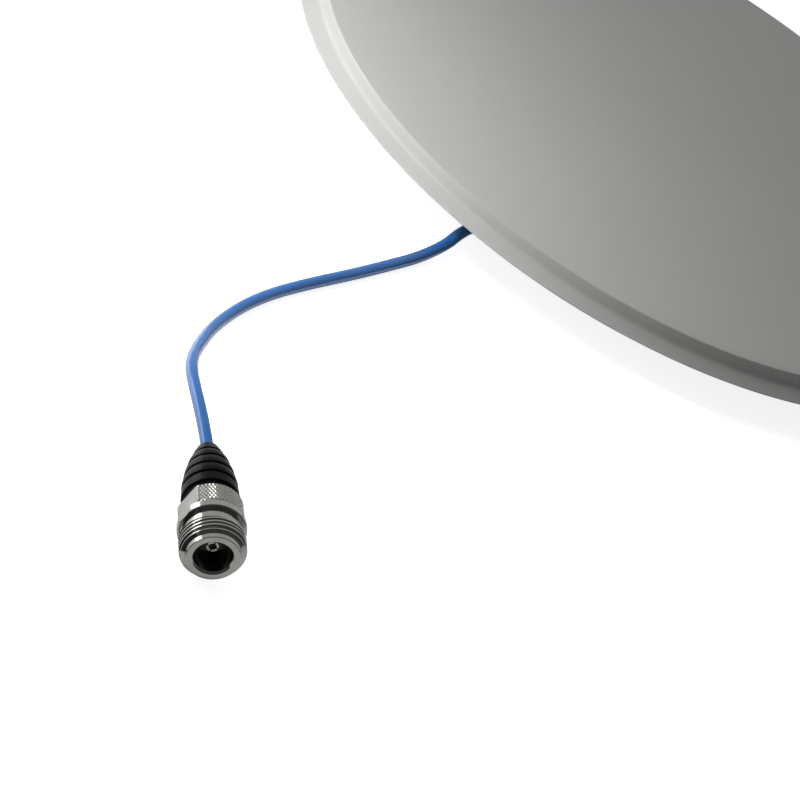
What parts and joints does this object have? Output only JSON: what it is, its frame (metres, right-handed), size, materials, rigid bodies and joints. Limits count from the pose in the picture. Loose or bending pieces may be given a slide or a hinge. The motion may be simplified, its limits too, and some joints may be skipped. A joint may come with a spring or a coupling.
{
  "type": "ceiling antenna",
  "caption": "Low-profile disc antenna for a ceiling: crowned radome over a flat-backed tray, with a coaxial pigtail, ribbed boot and threaded jack.",
  "frame": {"origin": "middle of the flat back face that goes against the ceiling", "axes": "+Z out of the room-side face; the jack points nearly along -Y, with its nose a little down"},
  "size_m": [0.2793, 0.3838, 0.0178],
  "materials": {
    "radome_plastic": "fine moulded texture",
    "tray_plastic": "fine moulded texture",
    "black_rubber": "satin moulded",
    "screw_steel": "zinc plated",
    "brass": "machined",
    "sheet_aluminium": "rolled sheet",
    "white_plastic": "natural moulded",
    "black_plastic": "natural moulded",
    "blue_jacket": "glossy extruded",
    "nickel": "satin nickel plate"
  },
  "bodies": {
    "root": {"radome": "radome_plastic", "base_tray": "tray_plastic", "rim_gasket": "black_rubber", "cover_screws": "screw_steel", "mount_inserts": "brass", "ground_plane": "sheet_aluminium", "ground_screws": "screw_steel", "radiator": "brass", "leg_rivets": "sheet_aluminium", "spacers": "white_plastic", "spacer_screws": "screw_steel", "feed_post": "brass", "feed_bush": "white_plastic", "inner_cable": "blue_jacket", "cable_dielectric": "white_plastic", "cable_conductor": "brass", "braid_strap": "screw_steel", "cable_clip": "white_plastic", "clip_screws": "screw_steel", "cable_grommet": "black_rubber", "pigtail_cable": "blue_jacket", "cable_boot": "black_rubber", "connector_shell": "nickel", "contact_insulator": "black_plastic", "centre_contact": "nickel", "crimp_ferrule": "nickel", "cable_tail": "blue_jacket"}
  },
  "joints": []
}
